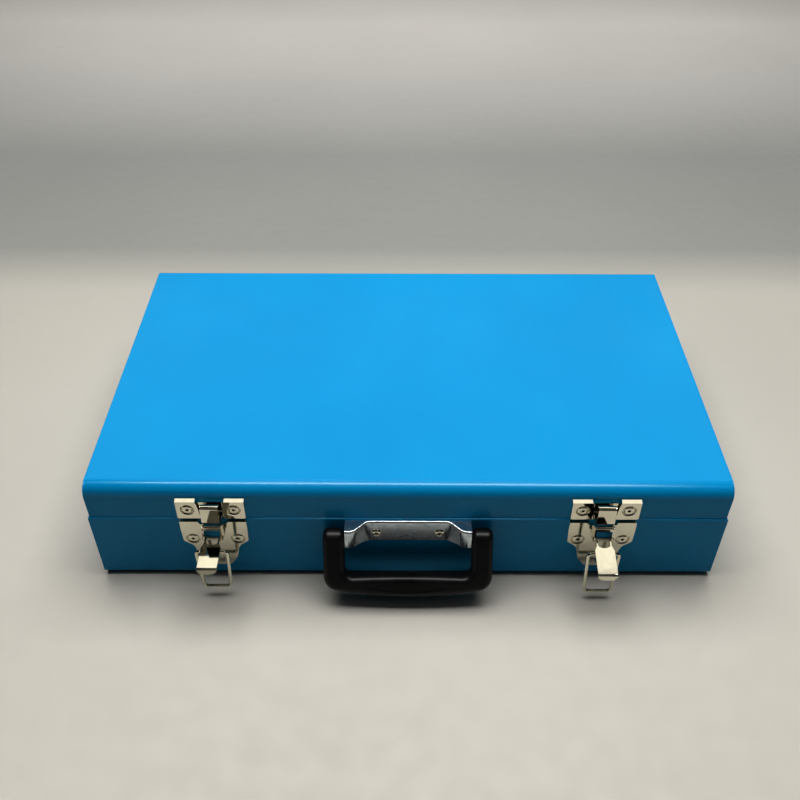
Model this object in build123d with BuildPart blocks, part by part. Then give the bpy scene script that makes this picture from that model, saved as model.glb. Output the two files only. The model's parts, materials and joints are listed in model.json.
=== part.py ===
"""Shallow sheet-steel tool box with a folding handle and two wire-bail latches.

Millimetres, +Z up, +X to the right seen from the front, front face towards -Y.
The origin is on the table under the middle of the whole box, fittings included.
Every height is measured from the table; "out" is the distance in front of the lid's front face.
"""
from build123d import *
from math import cos, radians, sin
import os

# ---- Driving dimensions: shell ------------------------------------------------------------
WIDTH = 420.0            # lid, left to right
DEPTH = 252.0            # lid, front to rear
HEIGHT = 85.4            # top of the lid above the table
SEAM = 58.5              # height of the joint between lid and base
SHEET = 0.9              # steel thickness of every shell panel
STAND = 3.0              # underside of the base above the table
FRONT_BEND = 9.0         # outer radius along the lid's front top edge
REAR_BEND = 1.4          # outer radius along the lid's rear top edge
PAN_BEND = 2.2           # outer radius along the base's bottom edges
SEAM_GAP = 0.3           # lid shoulder over the base rim
LIP_DEPTH = 6.0          # how far the lid's lip reaches into the base
LIP_GAP = 0.4            # lip to rim, all round
HEM_DEPTH = 7.0          # height of the folded rim of the base
RIM_ROUND = 0.8          # rounding of the fold along the rim
TAB = 10.0               # width of the welding flanges of the end plates
TAB_INSET = 12.0         # flanges stop short of bends and rims by this much

# ---- Driving dimensions: fasteners --------------------------------------------------------
SHANK = 2.0              # rivet shank radius
SHANK_FIT = 0.05         # hole over shank
HEAD = 3.75              # tubular rivet head radius
HEAD_RISE = 1.2
TUBE = 1.0               # radius of the hole down a tubular rivet
TAIL = 3.1               # rolled tail radius
TAIL_RISE = 0.8
PIN_FIT = 0.06           # running clearance on a pivot pin, radial

# ---- Driving dimensions: latches ----------------------------------------------------------
LATCH_X = 128.5          # latch centre from the middle of the box
LATCH_SHEET = 1.0
PLATE_OUT = 3.0          # front of the pressed plates, out from the lid face
RIVET_X = 15.0           # rivets each side of the latch centre
STRIKE_RIVET_Z = 68.8
PLATE_RIVET_Z = 40.8
DISH = 4.7               # radius of the dish pressed round each rivet
LEVER_OUT = 8.4          # lever pivot, out from the lid face
LEVER_Z = 47.4
LEVER_PIN = 1.1
LEVER_LENGTH = 26.8      # pivot to the bend at the bill's tip, along the lever
LEVER_RISE = 1.7         # top of the bill above the lever pivot
NECK_HALF = 4.9
BILL_HALF = 6.5
LIP_DROP = 4.2           # length of the turned-down lip
LIP_ANGLE = 66.0         # lip below the line of the bill, degrees
BAIL_ALONG = 9.5         # bail pivot from the lever pivot, along the lever
BAIL_BELOW = 2.0         # and below it
BAIL_WIRE = 1.2
BAIL_DROP = 36.0         # top bar to bottom bar
BAIL_TOP_HALF = 10.3
BAIL_FOOT_HALF = 9.0
BAIL_BEND = 3.0
# each latch: side, position of the lever and swing of the bail, degrees from level and from plumb
LATCHES = (("left", -LATCH_X, 0.0, 0.0), ("right", LATCH_X, -13.5, 4.0))

# ---- Driving dimensions: handle -----------------------------------------------------------
HANDLE_OUT = 7.8         # handle pivot
HANDLE_Z = 48.0
HANDLE_TILT = 25.0       # degrees out from hanging straight down
HANDLE_HALF = 56.0       # half the outer width
HAND_GAP = 42.0          # half the clear width between the legs
HANDLE_THICK = 13.0      # legs and grip, front to back
GRIP_TOP = 27.0          # pivot to the inside of the grip
GRIP_BOTTOM = 41.4       # pivot to the outside of the grip at its middle
BRACKET_SHEET = 1.6
BRACKET_TOP = 56.8
BRACKET_BOTTOM = 39.0
END_RISE = 2.8           # lower edge of the ends above that of the middle
BRACKET_OUT = 11.6       # front of the bracket's ends
BRACKET_RIVET_X = 21.0
BRACKET_RIVET_Z = 46.2
HANDLE_PIN = 1.5

# ---- Driving dimensions: hinges and feet --------------------------------------------------
HINGE_X = 130.0          # hinge centre from the middle of the box
HINGE_WIDTH = 50.0
LEAF = 1.2               # leaf thickness
LEAF_HEIGHT = 16.0
KNUCKLE = 2.6            # outer radius
HINGE_PIN = 1.3
KNUCKLE_GAP = 0.3        # between knuckles, and from the barrel to the base
HINGE_RIVET_X = 17.0
HINGE_RIVET_DROP = 10.5  # rivets above and below the hinge line
FOOT_X = 188.0
FOOT_INSET = 22.0        # foot centre from the front and rear faces
FOOT = 8.0               # foot radius at the base

# ---- Values that follow -------------------------------------------------------------------
BASE_PROUD = SHEET                                   # the base stands this far outside the lid
HINGE_OUT = DEPTH + BASE_PROUD + KNUCKLE_GAP + KNUCKLE
LIP_TIP = radians(LIP_ANGLE)
FRONT_REACH = LEVER_OUT + LEVER_LENGTH + LIP_DROP * cos(LIP_TIP)
FRONT_Y = (FRONT_REACH - HINGE_OUT - KNUCKLE) / 2    # centres the whole box on the origin
REAR_Y = FRONT_Y + DEPTH
SHOULDER = SEAM + SEAM_GAP / 2                       # underside of the lid's shoulder
RIM = SEAM - SEAM_GAP / 2                            # top of the base's rim
LIP_IN = SHEET + LIP_GAP                             # outside of the lip, in from the lid face
HALF = WIDTH / 2
HOLE = SHANK + SHANK_FIT

os.makedirs("parts", exist_ok=True)


def front_plane(x=0.0, out=0.0):
    """Sketch plane facing forward: local x to the right, local y is height."""
    return Plane(origin=(x, FRONT_Y - out, 0), x_dir=(1, 0, 0), z_dir=(0, -1, 0))


def side_plane(x=0.0):
    """Sketch plane for side profiles: local x is distance out, local y is height."""
    return Plane(origin=(x, FRONT_Y, 0), x_dir=(0, -1, 0), z_dir=(-1, 0, 0))


def section_plane(x=0.0):
    """Sketch plane for shell sections: local x runs back from the lid face, local y is height."""
    return Plane(origin=(x, FRONT_Y, 0), x_dir=(0, 1, 0), z_dir=(1, 0, 0))


def save(part, name):
    """Label one finished piece and write it under its own name."""
    part.label = name
    export_step(part, f"parts/{name}.step")


def tubular_rivet(grip, head=HEAD, rise=HEAD_RISE, tube=TUBE):
    """Rivet set through `grip` of sheet: head on +Z, underside of the head at z = 0."""
    with BuildPart() as rivet:
        with BuildSketch(Plane.XZ):
            with BuildLine():
                Polyline((tube, rise), (tube, -grip - TAIL_RISE), (TAIL - 0.6, -grip - TAIL_RISE))
                ThreePointArc((TAIL - 0.6, -grip - TAIL_RISE), (TAIL - 0.15, -grip - 0.55), (TAIL, -grip))
                Polyline((TAIL, -grip), (SHANK, -grip), (SHANK, 0), (head, 0), (head, 0.25))
                ThreePointArc((head, 0.25), (head - 0.55, rise * 0.78), (tube + 0.7, rise))
                Line((tube + 0.7, rise), (tube, rise))
            make_face()
        revolve(axis=Axis.Z)
    return rivet.part


def facing_front(x, out, z):
    """Places a rivet on a front face with its head outwards."""
    return Plane(origin=(x, FRONT_Y - out, z), x_dir=(1, 0, 0), z_dir=(0, -1, 0)).location


def facing_rear(x, back, z):
    """Places a rivet on a rear face with its head outwards."""
    return Plane(origin=(x, FRONT_Y + back, z), x_dir=(1, 0, 0), z_dir=(0, 1, 0)).location


HINGES = (("left", -HINGE_X), ("right", HINGE_X))
LATCH_RIVETS_X = [x + side for x in (-LATCH_X, LATCH_X) for side in (-RIVET_X, RIVET_X)]
HINGE_RIVETS_X = [x + side for _, x in HINGES for side in (-HINGE_RIVET_X, HINGE_RIVET_X)]
FEET = (
    ("front_left", -FOOT_X, FOOT_INSET),
    ("front_right", FOOT_X, FOOT_INSET),
    ("rear_left", -FOOT_X, DEPTH - FOOT_INSET),
    ("rear_right", FOOT_X, DEPTH - FOOT_INSET),
)

# ---- Base pan: front wall, bottom and rear wall folded from one sheet ------------------------
with BuildPart() as base_pan:
    with BuildSketch(section_plane(-HALF)):
        with Locations((DEPTH / 2, (STAND + RIM) / 2)):
            Rectangle(DEPTH + 2 * BASE_PROUD, RIM - STAND)
        fillet(vertices().group_by(Axis.Y)[0], PAN_BEND)
        with Locations((DEPTH / 2, STAND + SHEET + HEIGHT / 2)):
            Rectangle(DEPTH, HEIGHT, mode=Mode.SUBTRACT)
        fillet(vertices().filter_by(lambda v: abs(v.Y - STAND - SHEET) < 0.01), PAN_BEND - SHEET)
        # the hemmed rim: the sheet folded back on itself inside the wall
        with Locations(*[(back, RIM - HEM_DEPTH / 2) for back in (SHEET / 2, DEPTH - SHEET / 2)]):
            Rectangle(SHEET, HEM_DEPTH)
        fillet(vertices().filter_by(lambda v: abs(v.Y - RIM) < 0.01), RIM_ROUND)
    extrude(amount=WIDTH)
    # holes for the latch, bracket, hinge and foot rivets
    with BuildSketch(front_plane()):
        with Locations([(x, PLATE_RIVET_Z) for x in LATCH_RIVETS_X]):
            Circle(HOLE)
        with Locations([(x, BRACKET_RIVET_Z) for x in (-BRACKET_RIVET_X, BRACKET_RIVET_X)]):
            Circle(HOLE)
    extrude(amount=5, both=True, mode=Mode.SUBTRACT)
    with BuildSketch(Plane(origin=(0, REAR_Y, 0), x_dir=(1, 0, 0), z_dir=(0, -1, 0))):
        with Locations([(x, SEAM - HINGE_RIVET_DROP) for x in HINGE_RIVETS_X]):
            Circle(HOLE)
    extrude(amount=5, both=True, mode=Mode.SUBTRACT)
    with BuildSketch(Plane.XY):
        with Locations([(x, FRONT_Y + back) for _, x, back in FEET]):
            Circle(HOLE)
    extrude(amount=STAND + 5, mode=Mode.SUBTRACT)
save(base_pan.part, "base_pan")

# ---- Base end plates: welded to the pan by three inner flanges -------------------------------
for side, sign in (("left", -1), ("right", 1)):
    with BuildPart() as base_end:
        with BuildSketch(section_plane(sign * HALF)):
            with Locations((DEPTH / 2, (STAND + RIM) / 2)):
                Rectangle(DEPTH + 2 * BASE_PROUD, RIM - STAND)
            fillet(vertices().group_by(Axis.Y)[0], PAN_BEND)
        extrude(amount=sign * SHEET)
        # hem folded inwards along the rim, between the hems of the pan
        with BuildSketch(section_plane(sign * HALF)):
            with Locations((DEPTH / 2, RIM - HEM_DEPTH / 2)):
                Rectangle(DEPTH - 2 * SHEET, HEM_DEPTH)
        extrude(amount=-sign * SHEET)
        # bottom, front and rear flanges
        with BuildSketch(section_plane(sign * HALF)):
            with Locations((DEPTH / 2, STAND + SHEET * 1.5)):
                Rectangle(DEPTH - 2 * TAB_INSET, SHEET)
            with Locations(
                (SHEET / 2, (STAND + RIM - HEM_DEPTH) / 2),
                (DEPTH - SHEET / 2, (STAND + RIM - HEM_DEPTH) / 2),
            ):
                Rectangle(SHEET, RIM - HEM_DEPTH - STAND - TAB_INSET)
        extrude(amount=-sign * TAB)
        rim_edges = edges().filter_by(Axis.Y).filter_by(
            lambda edge: abs(edge.center().Z - RIM) < 0.01 and abs(abs(edge.center().X) - HALF) > SHEET / 2
        )
        fillet(rim_edges, RIM_ROUND)
    save(base_end.part, f"base_end_{side}")

# ---- Lid cover: front wall, top and rear wall folded from one sheet --------------------------
LID_SIDE = HALF - SHEET          # the cover runs between the end plates
LIP_SIDE = HALF - LIP_IN         # the lips stop clear of the base's end rims
with BuildPart() as lid_cover:
    with BuildSketch(section_plane(-LID_SIDE)):
        with BuildLine():
            Line((0, SHOULDER), (0, HEIGHT - FRONT_BEND))
            RadiusArc((0, HEIGHT - FRONT_BEND), (FRONT_BEND, HEIGHT), FRONT_BEND)
            Line((FRONT_BEND, HEIGHT), (DEPTH - REAR_BEND, HEIGHT))
            RadiusArc((DEPTH - REAR_BEND, HEIGHT), (DEPTH, HEIGHT - REAR_BEND), REAR_BEND)
            Polyline(
                (DEPTH, HEIGHT - REAR_BEND),
                (DEPTH, SHOULDER),
                (DEPTH - LIP_IN - SHEET, SHOULDER),
                (DEPTH - LIP_IN - SHEET, SHOULDER + SHEET),
                (DEPTH - SHEET, SHOULDER + SHEET),
                (DEPTH - SHEET, HEIGHT - REAR_BEND),
            )
            RadiusArc(
                (DEPTH - SHEET, HEIGHT - REAR_BEND), (DEPTH - REAR_BEND, HEIGHT - SHEET), SHEET - REAR_BEND
            )
            Line((DEPTH - REAR_BEND, HEIGHT - SHEET), (FRONT_BEND, HEIGHT - SHEET))
            RadiusArc(
                (FRONT_BEND, HEIGHT - SHEET), (SHEET, HEIGHT - FRONT_BEND), SHEET - FRONT_BEND
            )
            Polyline(
                (SHEET, HEIGHT - FRONT_BEND),
                (SHEET, SHOULDER + SHEET),
                (LIP_IN + SHEET, SHOULDER + SHEET),
                (LIP_IN + SHEET, SHOULDER),
                (0, SHOULDER),
            )
        make_face()
    extrude(amount=2 * LID_SIDE)
    # the lips that reach down inside the base
    with BuildSketch(section_plane(-LIP_SIDE)):
        with Locations(
            (LIP_IN + SHEET / 2, SHOULDER - LIP_DEPTH / 2),
            (DEPTH - LIP_IN - SHEET / 2, SHOULDER - LIP_DEPTH / 2),
        ):
            Rectangle(SHEET, LIP_DEPTH)
    extrude(amount=2 * LIP_SIDE)
    with BuildSketch(front_plane()):
        with Locations([(x, STRIKE_RIVET_Z) for x in LATCH_RIVETS_X]):
            Circle(HOLE)
    extrude(amount=5, both=True, mode=Mode.SUBTRACT)
    with BuildSketch(Plane(origin=(0, REAR_Y, 0), x_dir=(1, 0, 0), z_dir=(0, -1, 0))):
        with Locations([(x, SEAM + HINGE_RIVET_DROP) for x in HINGE_RIVETS_X]):
            Circle(HOLE)
    extrude(amount=5, both=True, mode=Mode.SUBTRACT)
save(lid_cover.part, "lid_cover")

# ---- Lid end plates ---------------------------------------------------------------------------
for side, sign in (("left", -1), ("right", 1)):
    with BuildPart() as lid_end:
        with BuildSketch(section_plane(sign * LID_SIDE)):
            with BuildLine():
                Line((0, SHOULDER), (0, HEIGHT - FRONT_BEND))
                RadiusArc((0, HEIGHT - FRONT_BEND), (FRONT_BEND, HEIGHT), FRONT_BEND)
                Line((FRONT_BEND, HEIGHT), (DEPTH - REAR_BEND, HEIGHT))
                RadiusArc((DEPTH - REAR_BEND, HEIGHT), (DEPTH, HEIGHT - REAR_BEND), REAR_BEND)
                Polyline((DEPTH, HEIGHT - REAR_BEND), (DEPTH, SHOULDER), (0, SHOULDER))
            make_face()
        extrude(amount=sign * SHEET)
        # shoulder and lip, between the lips of the cover
        lip_run = DEPTH - 2 * (LIP_IN + SHEET)
        with BuildSketch(section_plane(sign * LID_SIDE)):
            with Locations((DEPTH / 2, SHOULDER + SHEET / 2)):
                Rectangle(lip_run, SHEET)
        extrude(amount=-sign * LIP_IN)
        with BuildSketch(section_plane(sign * LIP_SIDE)):
            with Locations((DEPTH / 2, SHOULDER - LIP_DEPTH / 2)):
                Rectangle(lip_run, LIP_DEPTH)
        extrude(amount=-sign * SHEET)
        # top, front and rear flanges
        wall_middle = (SHOULDER + HEIGHT - FRONT_BEND + SHEET) / 2
        wall_flange = HEIGHT - FRONT_BEND - SHOULDER - 2 * SHEET - 2
        with BuildSketch(section_plane(sign * LID_SIDE)):
            with Locations((DEPTH / 2, HEIGHT - SHEET * 1.5)):
                Rectangle(DEPTH - 2 * TAB_INSET, SHEET)
            with Locations((SHEET * 1.5, wall_middle), (DEPTH - SHEET * 1.5, wall_middle)):
                Rectangle(SHEET, wall_flange)
        extrude(amount=-sign * TAB)
    save(lid_end.part, f"lid_end_{side}")

# ---- Feet and their rivets ----------------------------------------------------------------------
FOOT_RECESS = 1.4
FOOT_RIVET_HEAD = 3.4
with BuildPart() as foot_blank:
    with BuildSketch(Plane.XY.offset(STAND)):
        Circle(FOOT)
    extrude(amount=-STAND, taper=12)
    fillet(edges().group_by(Axis.Z)[0], 0.5)
    with BuildSketch(Plane.XY):
        Circle(FOOT_RIVET_HEAD + 0.5)
    extrude(amount=FOOT_RECESS, mode=Mode.SUBTRACT)
    with BuildSketch(Plane.XY):
        Circle(HOLE)
    extrude(amount=STAND, mode=Mode.SUBTRACT)

for place, foot_x, back in FEET:
    with BuildPart() as foot:
        add(foot_blank.part.moved(Location((foot_x, FRONT_Y + back, 0))))
    save(foot.part, f"foot_{place}")

foot_rivet = tubular_rivet(STAND - FOOT_RECESS + SHEET, head=FOOT_RIVET_HEAD, rise=0.9)
with BuildPart() as foot_rivets:
    for _, foot_x, back in FEET:
        head_down = Plane(origin=(foot_x, FRONT_Y + back, FOOT_RECESS), x_dir=(1, 0, 0), z_dir=(0, 0, -1))
        add(foot_rivet.moved(head_down.location))
save(foot_rivets.part, "foot_rivets")

# ---- Latches -------------------------------------------------------------------------------------
BASE_FACE = BASE_PROUD                       # base wall, out from the lid face
FLOOR = PLATE_OUT - LATCH_SHEET              # floor of the dishes, out from the lid face
DISH_SLOPE = 30.0
PLATE_TOP = 57.2                             # front top edge of the base plate
PLATE_FOOT = 14.0
TOP_SLOPE = 0.25                             # top walls fall this much towards the front
EAR_IN = NECK_HALF + 0.3                     # inside of the ears
EAR_HALF = EAR_IN + 1.2                      # outside of the ears
EAR_FOOT = 43.0
WINDOW_TOP = 55.0
BRIDGE_OUT = 9.2                             # front of the bridge that joins the ears
BRIDGE_TOP = 58.5
BRIDGE_FOOT = BRIDGE_TOP - 3.0
EAR_EYE = 2.3                                # radius of the ears round the lever pin
LEVER_EYE = 2.2
BAIL_EYE = BAIL_WIRE + 1.2
OPENING_END = 7.3                            # channel open on top from the pivot to here
FLARE_START = 5.6
FLARE_END = 9.2
CHEEK_END = 19.5
WING_IN = 7.0                                # strike wings, from the latch centre
WING_OUT = 22.3
STRIKE_BOTTOM = 60.6
STRIKE_TOP = 76.0
WEB_HALF = 8.0
WEB_TOP = 74.0
TONGUE_HALF = 5.9
TONGUE_OUT = 7.5
TONGUE_BOTTOM = 59.3
TONGUE_TOP = 74.6
TONGUE_BEND = 2.6
TONGUE_LEAN = 0.8                            # the tongue leans back towards its top


def tilted(origin, angle):
    """Side, plan and end planes of a piece that points forward, raised by `angle` degrees.

    Side: local x runs along the piece, local y above it.  Plan: local y runs back along it.
    End: facing along the piece, local y above it.
    """
    turn = radians(angle)
    along = (0, -cos(turn), sin(turn))
    above = (0, sin(turn), cos(turn))
    side = Plane(origin=origin, x_dir=along, z_dir=(-1, 0, 0))
    plan = Plane(origin=origin, x_dir=(1, 0, 0), z_dir=above)
    end = Plane(origin=origin, x_dir=(1, 0, 0), z_dir=along)
    return side, plan, end


def pressed_plate(x0, seat, top, outer, inner):
    """Shallow pressed plate with a falling top wall, hollow behind; seen from the front it fills
    the sketch `outer`, and its hollow fills `inner`."""
    depth = PLATE_OUT - seat
    with BuildPart() as plate:
        with BuildSketch(front_plane(x0, seat)):
            add(outer)
        extrude(amount=depth)
        with BuildSketch(side_plane(x0)):
            with BuildLine():
                Polyline(
                    (PLATE_OUT, 0), (PLATE_OUT, top), (seat, top + TOP_SLOPE * depth),
                    (seat, 0), (PLATE_OUT, 0),
                )
            make_face()
        extrude(amount=WIDTH / 4, both=True, mode=Mode.INTERSECT)
        with BuildSketch(front_plane(x0, seat)):
            add(inner)
        extrude(amount=depth - LATCH_SHEET, mode=Mode.SUBTRACT)
    return plate.part


def plate_outline(top, inset):
    """Base plate seen from the front, drawn in by `inset`: shoulders, waist and rounded foot."""
    with BuildSketch() as outline:
        with BuildLine():
            Polyline(
                (0, 55.0), (8.6, 55.0), (11.2, top), (21.9, top), (22.2, 51.0), (21.7, 38.4),
                (15.2, 33.4), (12.6, 21.5), (7.4, PLATE_FOOT), (0, PLATE_FOOT),
            )
            mirror(about=Plane.YZ)
        make_face()
        for height, radius in ((38.4, 2.0), (33.4, 7.0), (21.5, 7.0), (PLATE_FOOT, 2.5)):
            fillet([v for v in vertices() if abs(v.Y - height) < 0.01 and abs(v.X) > 1], radius)
        if inset:
            offset(amount=-inset, mode=Mode.REPLACE)
    return outline.sketch


def wing_outline(top, inset):
    """The strike's two wings seen from the front, drawn in by `inset`, wider apart at the top."""
    with BuildSketch() as outline:
        with BuildLine():
            Polyline(
                (WING_IN, STRIKE_BOTTOM), (WING_OUT, STRIKE_BOTTOM), (WING_OUT, top),
                (9.8, top), (8.2, 72.0), (WING_IN, STRIKE_BOTTOM),
            )
        make_face()
        fillet(vertices().sort_by(Axis.Y)[:2], 1.2)
        if inset:
            offset(amount=-inset, mode=Mode.REPLACE)
        mirror(about=Plane.YZ)
    return outline.sketch


for side, x0, lever_angle, bail_swing in LATCHES:
    rivet_xs = (x0 - RIVET_X, x0 + RIVET_X)

    # Base plate: a shallow pressed pan on the base wall, with ears and a bridge for the lever pin
    plate_outside = plate_outline(PLATE_TOP + 2, 0)
    plate_hollow = plate_outline(PLATE_TOP, LATCH_SHEET)
    plate_blank = pressed_plate(x0, BASE_FACE, PLATE_TOP, plate_outside, plate_hollow)
    with BuildPart() as latch_plate:
        add(plate_blank)
        # seats round the rivets, dished in front
        with BuildSketch(front_plane(x0, BASE_FACE)):
            with Locations((-RIVET_X, PLATE_RIVET_Z), (RIVET_X, PLATE_RIVET_Z)):
                Circle(DISH)
        extrude(amount=FLOOR - BASE_FACE)
        with BuildSketch(front_plane(x0, PLATE_OUT)):
            with Locations((-RIVET_X, PLATE_RIVET_Z), (RIVET_X, PLATE_RIVET_Z)):
                Circle(DISH)
        extrude(amount=-LATCH_SHEET, taper=DISH_SLOPE, mode=Mode.SUBTRACT)
        with BuildSketch(front_plane(x0, BASE_FACE)):
            with Locations((-RIVET_X, PLATE_RIVET_Z), (RIVET_X, PLATE_RIVET_Z)):
                Circle(HOLE)
        extrude(amount=PLATE_OUT, mode=Mode.SUBTRACT)
        # window that the ears were turned out of
        with BuildSketch(front_plane(x0, BASE_FACE)):
            with Locations((0, (EAR_FOOT + WINDOW_TOP) / 2 + 1)):
                Rectangle(2 * EAR_IN, WINDOW_TOP - EAR_FOOT + 2)
        extrude(amount=PLATE_OUT, mode=Mode.SUBTRACT)
        # ears and the bridge between them, one strip
        with BuildSketch(side_plane(x0)):
            with BuildLine():
                Polyline(
                    (FLOOR, EAR_FOOT),
                    (LEVER_OUT - EAR_EYE / 2, LEVER_Z - EAR_EYE),
                    (LEVER_OUT, LEVER_Z - EAR_EYE),
                    (LEVER_OUT + EAR_EYE, LEVER_Z),
                    (BRIDGE_OUT + 0.6, LEVER_Z + EAR_EYE),
                    (BRIDGE_OUT, BRIDGE_FOOT),
                    (BRIDGE_OUT, BRIDGE_TOP),
                    (BRIDGE_OUT - 1.6, BRIDGE_TOP),
                    (FLOOR, WINDOW_TOP - 1),
                    (FLOOR, EAR_FOOT),
                )
            make_face()
            fillet(vertices().sort_by(Axis.X)[-1], 1.6)
            fillet(vertices().group_by(Axis.Y)[-1].sort_by(Axis.X)[-1], 1.0)
        extrude(amount=EAR_HALF, both=True)
        with BuildSketch(side_plane(x0)):
            with BuildLine():
                Polyline(
                    (0, EAR_FOOT - 4),
                    (LEVER_OUT + 8, EAR_FOOT - 4),
                    (LEVER_OUT + 8, BRIDGE_FOOT),
                    (BRIDGE_OUT - LATCH_SHEET, BRIDGE_FOOT),
                    (BRIDGE_OUT - LATCH_SHEET, BRIDGE_TOP - LATCH_SHEET),
                    (BRIDGE_OUT - 2.2, BRIDGE_TOP - LATCH_SHEET),
                    (BRIDGE_OUT - 2.2, BRIDGE_TOP + 1),
                    (0, BRIDGE_TOP + 1),
                    (0, EAR_FOOT - 4),
                )
            make_face()
        extrude(amount=EAR_IN, both=True, mode=Mode.SUBTRACT)
        with BuildSketch(side_plane(x0)):
            with Locations((LEVER_OUT, LEVER_Z)):
                Circle(LEVER_PIN + SHANK_FIT)
        extrude(amount=EAR_HALF + 1, both=True, mode=Mode.SUBTRACT)
    save(latch_plate.part, f"latch_plate_{side}")

    # Lever pin, upset at both ends outside the ears
    with BuildPart() as lever_pin:
        with BuildSketch(side_plane(x0)):
            with Locations((LEVER_OUT, LEVER_Z)):
                Circle(LEVER_PIN)
        extrude(amount=EAR_HALF, both=True)
        for sign in (-1, 1):
            with BuildSketch(side_plane(x0 + sign * EAR_HALF)):
                with Locations((LEVER_OUT, LEVER_Z)):
                    Circle(LEVER_PIN + 0.5)
            extrude(amount=-sign * 0.6)
        fillet(edges().filter_by(GeomType.CIRCLE).group_by(Axis.X)[0], 0.25)
        fillet(edges().filter_by(GeomType.CIRCLE).group_by(Axis.X)[-1], 0.25)
    save(lever_pin.part, f"lever_pin_{side}")

    # Duck-bill lever: a channel, open on top at its neck, with a wide bill and a turned-down lip
    pivot = (x0, FRONT_Y - LEVER_OUT, LEVER_Z)
    lever_side, lever_plan, lever_end = tilted(pivot, lever_angle)
    underside = LEVER_RISE - LATCH_SHEET
    lip_along, lip_down = cos(LIP_TIP), sin(LIP_TIP)
    neck_inside = NECK_HALF - LATCH_SHEET
    with BuildPart() as lever:
        with BuildSketch(lever_side):
            with BuildLine():
                Polyline(
                    (0, LEVER_RISE),
                    (LEVER_LENGTH, LEVER_RISE),
                    (LEVER_LENGTH + LIP_DROP * lip_along, LEVER_RISE - LIP_DROP * lip_down),
                    (
                        LEVER_LENGTH + LIP_DROP * lip_along - LATCH_SHEET * lip_down,
                        LEVER_RISE - LIP_DROP * lip_down - LATCH_SHEET * lip_along,
                    ),
                    (LEVER_LENGTH - LATCH_SHEET * lip_down, underside),
                    (CHEEK_END, underside),
                    (BAIL_ALONG + BAIL_EYE * 0.6, -BAIL_BELOW - BAIL_EYE * 0.8),
                    (BAIL_ALONG, -BAIL_BELOW - BAIL_EYE),
                    (0, -LEVER_EYE),
                    (0, LEVER_RISE),
                )
            make_face()
            fillet([v for v in vertices() if abs(v.X - LEVER_LENGTH) < 0.01], 1.7)
            fillet([v for v in vertices() if abs(v.X - LEVER_LENGTH + LATCH_SHEET * lip_down) < 0.01], 0.7)
            Circle(LEVER_EYE)
            with Locations((BAIL_ALONG, -BAIL_BELOW)):
                Circle(BAIL_EYE)
        extrude(amount=BILL_HALF, both=True)
        # seen from above: narrow neck, flare, wide bill
        with BuildSketch(lever_plan):
            with BuildLine():
                Polyline(
                    (0, LEVER_EYE + 1),
                    (NECK_HALF, LEVER_EYE + 1),
                    (NECK_HALF, -FLARE_START),
                    (BILL_HALF, -FLARE_END),
                    (BILL_HALF, -LEVER_LENGTH - LIP_DROP),
                    (0, -LEVER_LENGTH - LIP_DROP),
                )
                mirror(about=Plane.YZ)
            make_face()
            fillet([v for v in vertices() if -FLARE_END - 0.1 < v.Y < 0], 2.0)
        extrude(amount=LEVER_LENGTH / 2, both=True, mode=Mode.INTERSECT)
        # inside of the channel, under the bill
        with BuildSketch(lever_plan.offset(underside)):
            with BuildLine():
                Polyline(
                    (0, LEVER_EYE + 2),
                    (neck_inside, LEVER_EYE + 2),
                    (neck_inside, -FLARE_START),
                    (BILL_HALF - LATCH_SHEET, -FLARE_END),
                    (BILL_HALF - LATCH_SHEET, -CHEEK_END),
                    (0, -CHEEK_END),
                )
                mirror(about=Plane.YZ)
            make_face()
        extrude(amount=-LEVER_LENGTH / 2, mode=Mode.SUBTRACT)
        # opening on top of the neck, ending in a concave edge
        with BuildSketch(lever_plan.offset(-LEVER_EYE)):
            with BuildLine():
                Polyline(
                    (-neck_inside, -FLARE_START),
                    (-neck_inside, LEVER_EYE + 2),
                    (neck_inside, LEVER_EYE + 2),
                    (neck_inside, -FLARE_START),
                )
                ThreePointArc((neck_inside, -FLARE_START), (0, -OPENING_END), (-neck_inside, -FLARE_START))
            make_face()
        extrude(amount=3 * LEVER_EYE, mode=Mode.SUBTRACT)
        # the lip ends in a half oval
        with BuildSketch(lever_end.offset(LEVER_LENGTH - 1.5)):
            with BuildLine():
                Line((BILL_HALF + 1, LEVER_RISE - 1.6), (BILL_HALF, LEVER_RISE - 1.6))
                ThreePointArc(
                    (BILL_HALF, LEVER_RISE - 1.6),
                    (BILL_HALF * 0.74, LEVER_RISE - LIP_DROP * 0.73),
                    (0, LEVER_RISE - LIP_DROP * lip_down),
                )
                Polyline(
                    (0, LEVER_RISE - LIP_DROP * lip_down),
                    (0, -LIP_DROP - 1),
                    (BILL_HALF + 1, -LIP_DROP - 1),
                    (BILL_HALF + 1, LEVER_RISE - 1.6),
                )
            make_face()
            mirror(about=Plane.YZ)
        extrude(amount=LIP_DROP * 2, mode=Mode.SUBTRACT)
        with BuildSketch(lever_side):
            Circle(LEVER_PIN + PIN_FIT)
            with Locations((BAIL_ALONG, -BAIL_BELOW)):
                Circle(BAIL_WIRE + PIN_FIT)
        extrude(amount=BILL_HALF + 1, both=True, mode=Mode.SUBTRACT)
    save(lever.part, f"lever_{side}")

    # Wire bail: a closed loop hanging from the cheeks
    bail_pivot = lever_side.from_local_coords((BAIL_ALONG, -BAIL_BELOW, 0))
    _, _, bail_plane = tilted(tuple(bail_pivot), bail_swing)
    with BuildPart() as bail:
        with BuildLine(bail_plane) as loop:
            FilletPolyline(
                (BAIL_TOP_HALF, 0),
                (BAIL_FOOT_HALF, -BAIL_DROP),
                (-BAIL_FOOT_HALF, -BAIL_DROP),
                (-BAIL_TOP_HALF, 0),
                radius=BAIL_BEND,
                close=True,
            )
        wire = loop.wires()[0]
        with BuildSketch(Plane(origin=wire @ 0, z_dir=wire % 0)):
            Circle(BAIL_WIRE)
        sweep(path=wire)
    save(bail.part, f"bail_{side}")

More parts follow.
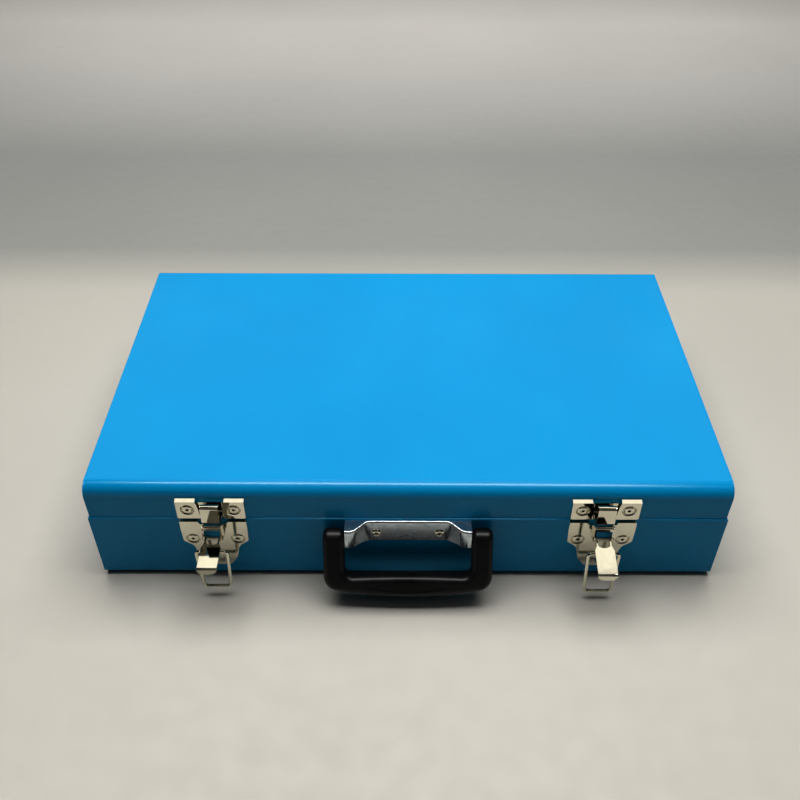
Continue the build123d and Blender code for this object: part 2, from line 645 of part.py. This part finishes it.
    # Strike: two raised wings either side of a web on the lid, with a tongue turned up in front
    wings_outside = wing_outline(STRIKE_TOP + 2, 0)
    wings_hollow = wing_outline(STRIKE_TOP, LATCH_SHEET)
    wings = pressed_plate(x0, 0, STRIKE_TOP, wings_outside, wings_hollow)
    with BuildPart() as strike:
        add(wings)
        with BuildSketch(front_plane(x0)):
            with Locations((-RIVET_X, STRIKE_RIVET_Z), (RIVET_X, STRIKE_RIVET_Z)):
                Circle(DISH)
        extrude(amount=FLOOR)
        with BuildSketch(front_plane(x0, PLATE_OUT)):
            with Locations((-RIVET_X, STRIKE_RIVET_Z), (RIVET_X, STRIKE_RIVET_Z)):
                Circle(DISH)
        extrude(amount=-LATCH_SHEET, taper=DISH_SLOPE, mode=Mode.SUBTRACT)
        with BuildSketch(front_plane(x0)):
            with Locations((-RIVET_X, STRIKE_RIVET_Z), (RIVET_X, STRIKE_RIVET_Z)):
                Circle(HOLE)
        extrude(amount=PLATE_OUT, mode=Mode.SUBTRACT)
        # web between the wings
        with BuildSketch(front_plane(x0)):
            with Locations((0, (TONGUE_BOTTOM + WEB_TOP) / 2)):
                Rectangle(2 * WEB_HALF, WEB_TOP - TONGUE_BOTTOM)
        extrude(amount=LATCH_SHEET)
        # tongue: out from the foot of the web, up, and curled back at the top
        with BuildSketch(side_plane(x0)):
            with BuildLine():
                Polyline(
                    (0, TONGUE_BOTTOM),
                    (TONGUE_OUT, TONGUE_BOTTOM),
                    (TONGUE_OUT - TONGUE_LEAN, TONGUE_TOP),
                    (TONGUE_OUT - TONGUE_LEAN - 3.4, TONGUE_TOP - 0.3),
                    (TONGUE_OUT - TONGUE_LEAN - 3.4, TONGUE_TOP - 0.3 - LATCH_SHEET),
                    (TONGUE_OUT - TONGUE_LEAN - LATCH_SHEET, TONGUE_TOP - LATCH_SHEET),
                    (TONGUE_OUT - LATCH_SHEET, TONGUE_BOTTOM + LATCH_SHEET),
                    (0, TONGUE_BOTTOM + LATCH_SHEET),
                    (0, TONGUE_BOTTOM),
                )
            make_face()
            front_bends = [v for v in vertices() if v.X > TONGUE_OUT - TONGUE_LEAN - 0.01]
            fillet(front_bends, TONGUE_BEND - LATCH_SHEET / 2)
            rear_x = TONGUE_OUT - LATCH_SHEET - TONGUE_LEAN / 2
            rear_bends = [v for v in vertices() if abs(v.X - rear_x) < 0.5]
            fillet(rear_bends, TONGUE_BEND - 1.5 * LATCH_SHEET)
        extrude(amount=TONGUE_HALF, both=True)
    save(strike.part, f"strike_{side}")

    # Rivets of the base plate and of the strike
    plate_rivet = tubular_rivet(FLOOR)
    with BuildPart() as plate_rivets:
        for rivet_x in rivet_xs:
            add(plate_rivet.moved(facing_front(rivet_x, FLOOR, PLATE_RIVET_Z)))
    save(plate_rivets.part, f"latch_plate_rivets_{side}")
    strike_rivet = tubular_rivet(FLOOR + SHEET)
    with BuildPart() as strike_rivets:
        for rivet_x in rivet_xs:
            add(strike_rivet.moved(facing_front(rivet_x, FLOOR, STRIKE_RIVET_Z)))
    save(strike_rivets.part, f"strike_rivets_{side}")

# ---- Handle bracket: strip with a top flange, stepped out at both ends ----------------------------
BRACKET_MID = 27.2        # the strip lies on the wall up to here
BRACKET_STEP = 36.0       # and stands fully out from here
BRACKET_END = 41.7
WALL_BEND = 6.0           # bend radii seen from above: off the wall
EYE_BEND = 8.0            # and into the ends
FLANGE_BEND = 1.5         # outer radius along the flange
CENTRE_OUT = BASE_FACE + BRACKET_SHEET
plan_plane = Plane(origin=(0, FRONT_Y, BRACKET_BOTTOM), x_dir=(1, 0, 0), z_dir=(0, 0, 1))


def bracket_plan(back, inset):
    """The bracket seen from above, with its open side at local y = `back`, drawn in by `inset`."""
    with BuildSketch() as plan:
        with BuildLine():
            Polyline(
                (0, -CENTRE_OUT), (BRACKET_MID, -CENTRE_OUT), (BRACKET_STEP, -BRACKET_OUT),
                (BRACKET_END, -BRACKET_OUT), (BRACKET_END, back), (0, back),
            )
            mirror(about=Plane.YZ)
        make_face()
        fillet([v for v in vertices() if abs(abs(v.X) - BRACKET_MID) < 0.1], WALL_BEND)
        fillet([v for v in vertices() if abs(abs(v.X) - BRACKET_STEP) < 0.1], EYE_BEND)
        if inset:
            offset(amount=-inset, mode=Mode.REPLACE)
    return plan.sketch


bracket_outside = bracket_plan(-BASE_FACE, 0)
bracket_hollow = bracket_plan(HANDLE_THICK, BRACKET_SHEET)
with BuildPart() as handle_bracket:
    with BuildSketch(plan_plane):
        add(bracket_outside)
    extrude(amount=BRACKET_TOP - BRACKET_BOTTOM)
    front_top = [
        edge for edge in edges().group_by(Axis.Z)[-1]
        if edge.center().Y < FRONT_Y - BASE_FACE - 0.5 and abs(edge.center().X) < BRACKET_END - 0.1
    ]
    fillet(front_top, FLANGE_BEND)
    # hollow behind the strip, open below
    with BuildSketch(plan_plane):
        add(bracket_hollow)
    extrude(amount=BRACKET_TOP - BRACKET_BOTTOM - BRACKET_SHEET, mode=Mode.SUBTRACT)
    # the ends are shallower than the middle
    with BuildSketch(front_plane(0, BASE_FACE)):
        with BuildLine():
            Polyline(
                (26.0, BRACKET_BOTTOM - 1),
                (33.0, BRACKET_BOTTOM + END_RISE),
                (BRACKET_END + 1, BRACKET_BOTTOM + END_RISE),
                (BRACKET_END + 1, BRACKET_BOTTOM - 1),
                (26.0, BRACKET_BOTTOM - 1),
            )
        make_face()
        fillet([v for v in vertices() if abs(v.X - 33.0) < 0.1], 4.0)
        mirror(about=Plane.YZ)
    extrude(amount=BRACKET_OUT, mode=Mode.SUBTRACT)
    with BuildSketch(front_plane(0, BASE_FACE)):
        with Locations((-BRACKET_RIVET_X, BRACKET_RIVET_Z), (BRACKET_RIVET_X, BRACKET_RIVET_Z)):
            Circle(HOLE)
    extrude(amount=BRACKET_OUT, mode=Mode.SUBTRACT)
    # bores for the handle pins, through the two ends only
    for sign in (-1, 1):
        with BuildSketch(side_plane(sign * BRACKET_END)):
            with Locations((HANDLE_OUT, HANDLE_Z)):
                Circle(HANDLE_PIN + SHANK_FIT)
        extrude(amount=2 * BRACKET_SHEET, both=True, mode=Mode.SUBTRACT)
save(handle_bracket.part, "handle_bracket")

bracket_rivet = tubular_rivet(BRACKET_SHEET + SHEET, head=3.5, tube=0.7)
with BuildPart() as bracket_rivets:
    for rivet_x in (-BRACKET_RIVET_X, BRACKET_RIVET_X):
        add(bracket_rivet.moved(facing_front(rivet_x, CENTRE_OUT, BRACKET_RIVET_Z)))
save(bracket_rivets.part, "bracket_rivets")

# ---- Handle ----------------------------------------------------------------------------------------
PIN_DEPTH = 8.0           # how far each pivot pin reaches into a leg
PAD_HALF = 27.0
PAD_CENTRE = 34.2
PAD_RISE = 3.4
PAD_DEPTH = 0.6
tilt = radians(HANDLE_TILT)
handle_plane = Plane(
    origin=(0, FRONT_Y - HANDLE_OUT, HANDLE_Z),
    x_dir=(1, 0, 0),
    z_dir=(0, -cos(tilt), sin(tilt)),
)
HUB = HANDLE_THICK / 2
with BuildPart() as handle:
    with BuildSketch(handle_plane):
        with BuildLine():
            Line((HAND_GAP, HUB), (HANDLE_HALF, HUB))
            Line((HANDLE_HALF, HUB), (HANDLE_HALF, -27.5))
            ThreePointArc((HANDLE_HALF, -27.5), (53.2, -34.0), (46.5, -37.3))
            ThreePointArc((46.5, -37.3), (0, -GRIP_BOTTOM), (-46.5, -37.3))
            ThreePointArc((-46.5, -37.3), (-53.2, -34.0), (-HANDLE_HALF, -27.5))
            Line((-HANDLE_HALF, -27.5), (-HANDLE_HALF, HUB))
            Line((-HANDLE_HALF, HUB), (-HAND_GAP, HUB))
            Line((-HAND_GAP, HUB), (-HAND_GAP, 6 - GRIP_TOP))
            ThreePointArc((-HAND_GAP, 6 - GRIP_TOP), (-40.2, 1.8 - GRIP_TOP), (-36, -GRIP_TOP))
            ThreePointArc((-36, -GRIP_TOP), (0, 0.9 - GRIP_TOP), (36, -GRIP_TOP))
            ThreePointArc((36, -GRIP_TOP), (40.2, 1.8 - GRIP_TOP), (HAND_GAP, 6 - GRIP_TOP))
            Line((HAND_GAP, 6 - GRIP_TOP), (HAND_GAP, HUB))
        make_face()
    extrude(amount=HANDLE_THICK / 2, both=True)
    top_edges = [
        edge for edge in edges().filter_by(Axis.X)
        if handle_plane.to_local_coords(edge.center()).Y > HUB - 0.1
    ]
    fillet(top_edges, HUB - 0.15)
    rims = [
        edge for edge in edges()
        if abs(abs(handle_plane.to_local_coords(edge.center()).Z) - HANDLE_THICK / 2) < 0.01
        and handle_plane.to_local_coords(edge.center()).Y < 0
    ]
    fillet(rims, 4.0)
    # shallow lens-shaped finger pad on the front of the grip
    with BuildSketch(handle_plane.offset(HANDLE_THICK / 2 - PAD_DEPTH)):
        with BuildLine():
            ThreePointArc((-PAD_HALF, -PAD_CENTRE), (0, PAD_RISE - PAD_CENTRE), (PAD_HALF, -PAD_CENTRE))
            ThreePointArc((PAD_HALF, -PAD_CENTRE), (0, -PAD_RISE - PAD_CENTRE), (-PAD_HALF, -PAD_CENTRE))
        make_face()
    extrude(amount=PAD_DEPTH * 3, mode=Mode.SUBTRACT)
    # blind holes for the pivot pins
    with BuildSketch(side_plane()):
        with Locations((HANDLE_OUT, HANDLE_Z)):
            Circle(HANDLE_PIN + PIN_FIT)
    extrude(amount=BRACKET_END + PIN_DEPTH + 0.5, both=True, mode=Mode.SUBTRACT)
save(handle.part, "handle_grip")

# Pivot pins: headed, through the bracket's ends into blind holes in the legs
with BuildPart() as handle_pins:
    for sign in (-1, 1):
        with BuildSketch(side_plane(sign * (BRACKET_END - BRACKET_SHEET))):
            with Locations((HANDLE_OUT, HANDLE_Z)):
                Circle(HANDLE_PIN)
        extrude(amount=-sign * (BRACKET_SHEET + PIN_DEPTH))
        with BuildSketch(side_plane(sign * (BRACKET_END - BRACKET_SHEET))):
            with Locations((HANDLE_OUT, HANDLE_Z)):
                Circle(HANDLE_PIN + 0.5)
        extrude(amount=sign * 1.2)
save(handle_pins.part, "handle_pins")

# ---- Hinges ----------------------------------------------------------------------------------------
KNUCKLES = 5
PITCH = HINGE_WIDTH / KNUCKLES


def hinge_leaf(x0, lid_side):
    """One leaf: a plate with its share of the knuckles, curled towards the hinge line."""
    up = 1 if lid_side else -1
    face = DEPTH if lid_side else DEPTH + BASE_PROUD
    mine = range(1, KNUCKLES, 2) if lid_side else range(0, KNUCKLES, 2)
    others = range(0, KNUCKLES, 2) if lid_side else range(1, KNUCKLES, 2)
    with BuildPart() as leaf:
        with BuildSketch(Plane(origin=(x0, FRONT_Y + face, SEAM), x_dir=(1, 0, 0), z_dir=(0, -1, 0))):
            with Locations((0, up * (LEAF_HEIGHT / 2 + 0.5))):
                Rectangle(HINGE_WIDTH, LEAF_HEIGHT)
            outer = [v for v in vertices() if abs(v.Y) > LEAF_HEIGHT / 2]
            fillet(outer, 3.0)
            with Locations(*[(PITCH * (k - 2), 0) for k in others]):
                Rectangle(PITCH + 2 * KNUCKLE_GAP, 2 * (KNUCKLE + 2 * KNUCKLE_GAP), mode=Mode.SUBTRACT)
            with Locations((-HINGE_RIVET_X, up * HINGE_RIVET_DROP), (HINGE_RIVET_X, up * HINGE_RIVET_DROP)):
                Circle(HOLE, mode=Mode.SUBTRACT)
        extrude(amount=-LEAF)
        for k in mine:
            start = x0 + PITCH * (k - 2.5) + KNUCKLE_GAP / 2
            with BuildSketch(section_plane(start)):
                with Locations((HINGE_OUT, SEAM)):
                    Circle(KNUCKLE)
                with Locations(((face + HINGE_OUT) / 2, SEAM + up * (KNUCKLE - LEAF / 2))):
                    Rectangle(HINGE_OUT - face, LEAF)
            extrude(amount=PITCH - KNUCKLE_GAP)
        bore = HINGE_PIN + (PIN_FIT if lid_side else SHANK_FIT)
        with BuildSketch(section_plane(x0 - HINGE_WIDTH)):
            with Locations((HINGE_OUT, SEAM)):
                Circle(bore)
        extrude(amount=2 * HINGE_WIDTH, mode=Mode.SUBTRACT)
    return leaf.part


hinge_rivet = tubular_rivet(LEAF + SHEET, head=3.2, tube=0.8)
for side, x0 in HINGES:
    save(hinge_leaf(x0, False), f"hinge_base_leaf_{side}")
    save(hinge_leaf(x0, True), f"hinge_lid_leaf_{side}")
    rivet_xs = (x0 - HINGE_RIVET_X, x0 + HINGE_RIVET_X)

    with BuildPart() as hinge_pin:
        with BuildSketch(section_plane(x0 - HINGE_WIDTH / 2 - 0.5)):
            with Locations((HINGE_OUT, SEAM)):
                Circle(HINGE_PIN)
        extrude(amount=HINGE_WIDTH + 1)
        for end in (-1, 1):
            with BuildSketch(section_plane(x0 + end * (HINGE_WIDTH / 2 + 0.1))):
                with Locations((HINGE_OUT, SEAM)):
                    Circle(HINGE_PIN + 0.5)
            extrude(amount=end * 0.8)
    save(hinge_pin.part, f"hinge_pin_{side}")

    with BuildPart() as base_rivets:
        for rivet_x in rivet_xs:
            add(hinge_rivet.moved(facing_rear(rivet_x, DEPTH + BASE_PROUD + LEAF, SEAM - HINGE_RIVET_DROP)))
    save(base_rivets.part, f"hinge_base_rivets_{side}")

    with BuildPart() as lid_rivets:
        for rivet_x in rivet_xs:
            add(hinge_rivet.moved(facing_rear(rivet_x, DEPTH + LEAF, SEAM + HINGE_RIVET_DROP)))
    save(lid_rivets.part, f"hinge_lid_rivets_{side}")
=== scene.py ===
"""Looks for the sheet-steel tool box: materials, edge rounding, floor, light and camera."""
import json
from math import cos, radians, sin

import bpy
from mathutils import Matrix, Vector


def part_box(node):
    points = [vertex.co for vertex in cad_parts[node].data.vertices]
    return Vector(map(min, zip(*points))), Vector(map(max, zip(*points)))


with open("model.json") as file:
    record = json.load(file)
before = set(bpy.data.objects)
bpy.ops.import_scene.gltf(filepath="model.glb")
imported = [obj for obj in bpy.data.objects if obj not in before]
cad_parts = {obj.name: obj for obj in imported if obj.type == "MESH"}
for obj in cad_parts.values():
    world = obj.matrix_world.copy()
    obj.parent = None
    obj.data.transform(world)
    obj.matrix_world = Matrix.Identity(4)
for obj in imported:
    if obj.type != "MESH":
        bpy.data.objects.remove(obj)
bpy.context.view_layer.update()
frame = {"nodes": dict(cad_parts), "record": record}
nodes = frame["nodes"]

MM = 0.001
# a Mix node has one set of sockets for each kind of data: factor and two colours, and the mixed colour
MIX_COLOUR_INPUTS = (0, 6, 7)
MIX_COLOUR_OUTPUT = 2


# ---- Node helpers ---------------------------------------------------------------------------

class Shader:
    """One node material under construction, with short calls for the nodes used here."""

    def __init__(self, name):
        self.material = bpy.data.materials.new(name)
        self.material.use_nodes = True
        self.tree = self.material.node_tree
        self.bsdf = self.tree.nodes["Principled BSDF"]
        self.coords = self.node("ShaderNodeTexCoord").outputs["Object"]

    def node(self, kind, **settings):
        made = self.tree.nodes.new(kind)
        for key, value in settings.items():
            setattr(made, key, value)
        return made

    def link(self, source, target):
        self.tree.links.new(source, target)

    def set(self, **values):
        """Uniform values go on the shader's own sockets."""
        for key, value in values.items():
            self.bsdf.inputs[key.replace("_", " ")].default_value = value

    def noise(self, scale, detail=2.0, roughness=0.5, stretch=None):
        """Noise over the object's own coordinates, which stretch scales axis by axis."""
        made = self.node("ShaderNodeTexNoise")
        made.inputs["Scale"].default_value = scale
        made.inputs["Detail"].default_value = detail
        made.inputs["Roughness"].default_value = roughness
        if stretch:
            mapping = self.node("ShaderNodeMapping")
            mapping.inputs["Scale"].default_value = stretch
            self.link(self.coords, mapping.inputs["Vector"])
            self.link(mapping.outputs["Vector"], made.inputs["Vector"])
        else:
            self.link(self.coords, made.inputs["Vector"])
        return made.outputs["Fac"]

    def ramp(self, source, stops):
        """A colour ramp; each stop is (position, colour)."""
        made = self.node("ShaderNodeValToRGB")
        elements = made.color_ramp.elements
        while len(elements) < len(stops):
            elements.new(0.5)
        for element, (position, colour) in zip(elements, stops):
            element.position = position
            element.color = (*colour, 1.0)
        self.link(source, made.inputs["Fac"])
        return made.outputs["Color"]

    def spread(self, source, low, high, start=0.3, end=0.7):
        """Turns a value between start and end into one between low and high."""
        made = self.node("ShaderNodeMapRange")
        made.inputs["From Min"].default_value = start
        made.inputs["From Max"].default_value = end
        made.inputs["To Min"].default_value = low
        made.inputs["To Max"].default_value = high
        self.link(source, made.inputs["Value"])
        return made.outputs["Result"]

    def multiply(self, first, second):
        """The product of two colour outputs."""
        made = self.node("ShaderNodeMix", data_type="RGBA", blend_type="MULTIPLY")
        factor, first_colour, second_colour = (made.inputs[index] for index in MIX_COLOUR_INPUTS)
        factor.default_value = 1.0
        self.link(first, first_colour)
        self.link(second, second_colour)
        return made.outputs[MIX_COLOUR_OUTPUT]

    def bump(self, *layers):
        """Each layer is (height output, strength, distance in metres)."""
        normal = None
        for height, strength, distance in layers:
            made = self.node("ShaderNodeBump")
            made.inputs["Strength"].default_value = strength
            made.inputs["Distance"].default_value = distance
            self.link(height, made.inputs["Height"])
            if normal:
                self.link(normal, made.inputs["Normal"])
            normal = made.outputs["Normal"]
        self.link(normal, self.bsdf.inputs["Normal"])


# ---- Materials --------------------------------------------------------------------------------

def blue_enamel():
    """Baked enamel: saturated blue, faint orange peel, soft sheen with handling marks."""
    paint = Shader("blue_enamel")
    cloud = paint.noise(9.0, 3.0)
    colour = paint.ramp(cloud, ((0.3, (0.0, 0.25, 0.49)), (0.7, (0.0, 0.27, 0.52))))
    paint.link(colour, paint.bsdf.inputs["Base Color"])
    smear = paint.noise(28.0, 4.0, 0.6)
    paint.link(paint.spread(smear, 0.19, 0.26), paint.bsdf.inputs["Roughness"])
    paint.bump((paint.noise(420.0, 1.0), 0.10, 0.00010), (paint.noise(60.0, 1.0), 0.05, 0.0003))
    paint.set(Specular_IOR_Level=0.22)
    return paint.material


def nickel_plate():
    """Bright nickel: warm mirror with fine polishing waviness and dulled patches."""
    metal = Shader("nickel_plate")
    cloud = metal.noise(160.0, 3.0)
    colour = metal.ramp(cloud, ((0.25, (0.69, 0.665, 0.555)), (0.75, (0.75, 0.725, 0.61))))
    metal.link(colour, metal.bsdf.inputs["Base Color"])
    metal.link(metal.spread(metal.noise(300.0, 4.0, 0.6), 0.045, 0.075), metal.bsdf.inputs["Roughness"])
    metal.bump((metal.noise(120.0, 2.0), 0.03, 0.0002), (metal.noise(1500.0, 2.0), 0.03, 0.00004))
    metal.set(Metallic=1.0)
    return metal.material


def zinc_plate():
    """Bluish zinc plate with a mottled, slightly streaky surface."""
    metal = Shader("zinc_plate")
    blotch = metal.noise(180.0, 4.0, 0.65)
    colour = metal.ramp(
        blotch,
        ((0.3, (0.36, 0.42, 0.47)), (0.5, (0.52, 0.57, 0.61)), (0.72, (0.66, 0.69, 0.70))),
    )
    metal.link(colour, metal.bsdf.inputs["Base Color"])
    metal.link(metal.spread(blotch, 0.30, 0.16), metal.bsdf.inputs["Roughness"])
    metal.bump((metal.noise(700.0, 3.0, 0.6, stretch=(0.2, 1, 1)), 0.18, 0.0001))
    metal.set(Metallic=1.0)
    return metal.material


def black_moulding():
    """Black moulded plastic: satin skin with a fine grain, worn smoother in places."""
    plastic = Shader("black_moulding")
    cloud = plastic.noise(40.0, 3.0)
    colour = plastic.ramp(cloud, ((0.3, (0.003, 0.003, 0.004)), (0.7, (0.007, 0.007, 0.008))))
    plastic.link(colour, plastic.bsdf.inputs["Base Color"])
    plastic.link(plastic.spread(plastic.noise(90.0, 3.0), 0.28, 0.42), plastic.bsdf.inputs["Roughness"])
    plastic.bump((plastic.noise(1400.0, 2.0), 0.12, 0.0001))
    plastic.set(Specular_IOR_Level=0.3)
    return plastic.material


def foot_rubber():
    """Matt black rubber with a dusty bloom."""
    rubber = Shader("foot_rubber")
    bloom = rubber.noise(120.0, 4.0)
    colour = rubber.ramp(bloom, ((0.35, (0.018, 0.018, 0.018)), (0.75, (0.05, 0.048, 0.045))))
    rubber.link(colour, rubber.bsdf.inputs["Base Color"])
    rubber.link(rubber.spread(rubber.noise(300.0, 3.0), 0.65, 0.9), rubber.bsdf.inputs["Roughness"])
    rubber.bump((rubber.noise(900.0, 3.0), 0.3, 0.0001))
    return rubber.material


MATERIALS = {
    "blue_paint": blue_enamel(),
    "nickel_plate": nickel_plate(),
    "zinc_plate": zinc_plate(),
    "handle_plastic": black_moulding(),
    "foot_rubber": foot_rubber(),
}
SLOT_OF = {entry["node"]: entry["material_slot"] for entry in frame["record"]["subparts"]}
# width of the rounding of edges, in millimetres, by material slot
EDGE_ROUND = {
    "blue_paint": 0.25,
    "nickel_plate": 0.35,
    "zinc_plate": 0.3,
    "handle_plastic": 0.4,
    "foot_rubber": 0.3,
}
WELD_DISTANCE = 0.005 * MM
FLAT_ANGLE = radians(0.4)
SHARP_ANGLE = radians(35)
ROUND_SEGMENTS = 3


def dress(name, thing):
    """Gives one CAD node its material and softened edges."""
    slot = SLOT_OF[name]
    thing.data.materials.clear()
    thing.data.materials.append(MATERIALS[slot])
    weld = thing.modifiers.new("weld", "WELD")
    weld.merge_threshold = WELD_DISTANCE
    flats = thing.modifiers.new("merge_flats", "DECIMATE")
    flats.decimate_type = "DISSOLVE"
    flats.angle_limit = FLAT_ANGLE
    bevel = thing.modifiers.new("edge_round", "BEVEL")
    bevel.width = EDGE_ROUND[slot] * MM
    bevel.segments = ROUND_SEGMENTS
    bevel.limit_method = "ANGLE"
    bevel.angle_limit = SHARP_ANGLE
    bevel.harden_normals = True
    bevel.use_clamp_overlap = True


for name, thing in nodes.items():
    dress(name, thing)


# ---- Floor and backdrop -----------------------------------------------------------------------

# the floor's sides, front edge and rear edge, the backdrop's top, and the radius of the bend between
# them, in metres
FLOOR_SIDE = 4.0
FLOOR_FRONT = -3.0
FLOOR_REAR = 2.6
BACKDROP_TOP = 2.4
BEND_RADIUS = 1.2
BEND_STEPS = 24
# the floor's tone, with its band of painted shade behind the box, changes between these distances, in
# metres from the box's middle
TONE_NEAR = -0.5
TONE_FAR = 1.5


def backdrop_paper():
    """Matt paper: pale around the box, a darker band of painted shade behind it where the light falls off,
    and pale again at the rear.
    """
    paper = Shader("backdrop_paper")
    split = paper.node("ShaderNodeSeparateXYZ")
    paper.link(paper.coords, split.inputs["Vector"])
    distance = paper.spread(split.outputs["Y"], 0.0, 1.0, start=TONE_NEAR, end=TONE_FAR)
    # painted shade: the ramp darkens the floor in a band behind the box, standing in for the light falling
    # off there
    tone_with_painted_shade = paper.ramp(
        distance,
        ((0.12, (0.45, 0.435, 0.40)), (0.37, (0.40, 0.39, 0.36)), (0.41, (0.26, 0.265, 0.255)),
         (0.52, (0.26, 0.265, 0.26)), (0.76, (0.62, 0.61, 0.59))),
    )
    cloud = paper.ramp(paper.noise(3.0, 3.0), ((0.3, (0.94, 0.94, 0.94)), (0.7, (1.0, 1.0, 1.0))))
    paper.link(paper.multiply(tone_with_painted_shade, cloud), paper.bsdf.inputs["Base Color"])
    paper.link(paper.spread(paper.noise(60.0, 3.0), 0.6, 0.75), paper.bsdf.inputs["Roughness"])
    paper.bump((paper.noise(500.0, 3.0), 0.1, 0.0002))
    return paper.material


def sweep_backdrop():
    """A floor that curves up into a backdrop well behind the box."""
    bend_start = FLOOR_REAR - BEND_RADIUS
    profile = [(FLOOR_FRONT, 0.0), (bend_start, 0.0)]
    for k in range(1, BEND_STEPS + 1):
        angle = radians(90) * k / BEND_STEPS
        profile.append((bend_start + BEND_RADIUS * sin(angle), BEND_RADIUS - BEND_RADIUS * cos(angle)))
    profile.append((FLOOR_REAR, BACKDROP_TOP))
    verts = [(x, y, z) for y, z in profile for x in (-FLOOR_SIDE, FLOOR_SIDE)]
    faces = [(2 * k, 2 * k + 1, 2 * k + 3, 2 * k + 2) for k in range(len(profile) - 1)]
    mesh = bpy.data.meshes.new("backdrop")
    mesh.from_pydata(verts, [], faces)
    mesh.polygons.foreach_set("use_smooth", [True] * len(faces))
    mesh.materials.append(backdrop_paper())
    thing = bpy.data.objects.new("backdrop", mesh)
    bpy.context.scene.collection.objects.link(thing)


sweep_backdrop()


# ---- Light and camera ---------------------------------------------------------------------------

WARM_WHITE = (1.0, 0.985, 0.96)
CREAM = (1.0, 0.97, 0.90)
MIDDLE = (0.0, 0.0, 0.0)
FRONT_EDGE = (0.0, -0.1, 0.0)
ROOM_COLOUR = (0.40, 0.39, 0.37, 1.0)
ROOM_STRENGTH = 0.15
PICTURE_GAMMA = 0.76


def area_light(name, place, target, size, power, colour, rays):
    """A rectangular light seen by one kind of ray: diffuse, to light things, or glossy, to be mirrored."""
    lamp = bpy.data.lights.new(name, "AREA")
    lamp.shape = "RECTANGLE"
    lamp.size, lamp.size_y = size
    lamp.energy = power
    lamp.color = colour
    thing = bpy.data.objects.new(name, lamp)
    thing.location = place
    thing.rotation_euler = (Vector(target) - Vector(place)).to_track_quat("-Z", "Y").to_euler()
    thing.visible_diffuse = rays == "diffuse"
    thing.visible_glossy = rays == "glossy"
    bpy.context.scene.collection.objects.link(thing)


def dim_room():
    """A dim surround that the camera sees past the backdrop, and that lights and mirrors nothing."""
    world = bpy.data.worlds.new("room")
    world.use_nodes = True
    background = world.node_tree.nodes["Background"]
    background.inputs["Color"].default_value = ROOM_COLOUR
    background.inputs["Strength"].default_value = ROOM_STRENGTH
    world.cycles_visibility.diffuse = False
    world.cycles_visibility.glossy = False
    bpy.context.scene.world = world


# a key above and behind, and a weaker one over the front edge
area_light("key", (0.0, 0.42, 1.5), MIDDLE, (1.6, 0.9), 34.0, WARM_WHITE, "diffuse")
area_light("rim_key", (0.0, -0.16, 1.5), FRONT_EDGE, (1.8, 0.22), 12.0, WARM_WHITE, "diffuse")
# for paint and metal to mirror: a bright strip over the front edge, a broad card behind, a dim one in front
area_light("strip", (0.0, -0.16, 1.5), FRONT_EDGE, (1.9, 0.20), 48.0, WARM_WHITE, "glossy")
area_light("card", (0.0, 0.95, 1.5), MIDDLE, (2.8, 1.7), 20.0, CREAM, "glossy")
area_light("front_card", (0.0, -1.5, 1.1), MIDDLE, (2.4, 0.9), 1.2, CREAM, "glossy")
# a weak fill for the front wall
area_light("front_fill", (0.0, -0.8, 1.6), MIDDLE, (1.6, 0.6), 2.0, WARM_WHITE, "diffuse")
dim_room()
bpy.context.scene.view_settings.view_transform = "Standard"
# darkens the middle tones, as a phone camera's contrast does
bpy.context.scene.view_settings.gamma = PICTURE_GAMMA

# the camera stands in front of the lid's front face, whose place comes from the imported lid
FACE_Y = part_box("lid_cover")[0].y
# lens and sensor in millimetres
CAMERA_LENS = 40.83
CAMERA_SENSOR = 36.0
# metres
CAMERA_BACK = 0.40096
CAMERA_RIGHT = -0.00576
CAMERA_HEIGHT = 0.50841
CAMERA_NEAR = 0.01
# degrees; the pitch is downwards from level
CAMERA_PITCH = 40.90
CAMERA_YAW = -0.026
CAMERA_ROLL = 0.183

camera_data = bpy.data.cameras.new("camera")
camera_data.lens = CAMERA_LENS
camera_data.sensor_width = CAMERA_SENSOR
camera_data.clip_start = CAMERA_NEAR
camera = bpy.data.objects.new("camera", camera_data)
turn = Matrix.Rotation(radians(CAMERA_YAW), 4, "Z") @ Matrix.Rotation(radians(90 - CAMERA_PITCH), 4, "X")
place = Matrix.Translation((CAMERA_RIGHT, FACE_Y - CAMERA_BACK, CAMERA_HEIGHT))
camera.matrix_world = place @ turn @ Matrix.Rotation(radians(CAMERA_ROLL), 4, "Z")
bpy.context.scene.collection.objects.link(camera)
bpy.context.scene.camera = camera
